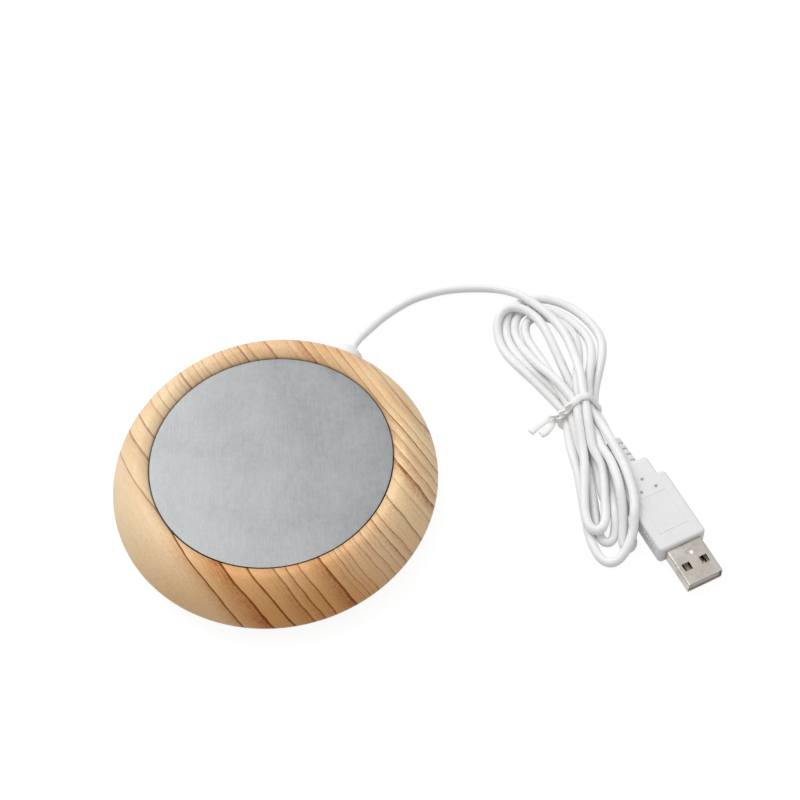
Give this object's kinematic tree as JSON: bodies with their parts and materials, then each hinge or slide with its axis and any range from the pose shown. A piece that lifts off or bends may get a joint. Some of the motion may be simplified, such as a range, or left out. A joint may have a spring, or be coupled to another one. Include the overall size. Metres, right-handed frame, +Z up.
{
  "type": "electric mug warmer",
  "caption": "Round turned-wood mug warmer with a set-in steel heating plate; a flared relief leads to a tied-up cord that ends in a type A plug.",
  "frame": {"origin": "centre of the base, on the table", "axes": "+Z up, +Y to the rear, where the cord leaves the ring; the tied cord and plug lie on the table at +X"},
  "size_m": [0.1904, 0.159, 0.0213],
  "materials": {
    "wood": "turned pine, satin lacquer",
    "plate_steel": "brushed in one direction",
    "seal_rubber": "black heat-proof bond",
    "heater_film": "amber heat-proof film",
    "heater_foil": "etched resistance foil",
    "felt": "pressed heat-proof felt",
    "cutout_case": "plain",
    "wire_red": "silicone sleeve, red",
    "wire_black": "silicone sleeve, black",
    "wire_natural": "silicone sleeve, natural",
    "heat_shrink": "black",
    "cord_jacket": "soft white jacket",
    "clamp_plastic": "moulded",
    "screw_steel": "plated",
    "base_plastic": "moulded, fine texture",
    "foot_rubber": "matt",
    "boss_plastic": "moulded, satin",
    "tie_ribbon": "flat coated ribbon",
    "grip_plastic": "moulded, satin",
    "shell_steel": "nickel plated",
    "tongue_plastic": "moulded",
    "contact_gold": "gold flashed"
  },
  "bodies": {
    "root": {"wood_ring": "wood", "heating_plate": "plate_steel", "plate_seal": "seal_rubber", "heater_cover_film": "heater_film", "heater_track": "heater_foil", "heater_base_film": "heater_film", "insulation_pad": "felt", "thermal_cutout": "cutout_case", "live_wire": "wire_red", "return_wire": "wire_black", "link_wire": "wire_natural", "wire_sleeves": "heat_shrink", "cord_inner": "cord_jacket", "cord_clamp": "clamp_plastic", "clamp_screws": "screw_steel", "base_cover": "base_plastic", "base_screws": "screw_steel", "rubber_feet": "foot_rubber", "strain_relief": "boss_plastic", "cord_lead": "cord_jacket", "cord_hank": "cord_jacket", "cord_tail": "cord_jacket", "twist_tie": "tie_ribbon", "plug_relief": "grip_plastic", "plug_body": "grip_plastic", "plug_shell": "shell_steel", "plug_tongue": "tongue_plastic", "plug_contacts": "contact_gold"}
  },
  "joints": []
}
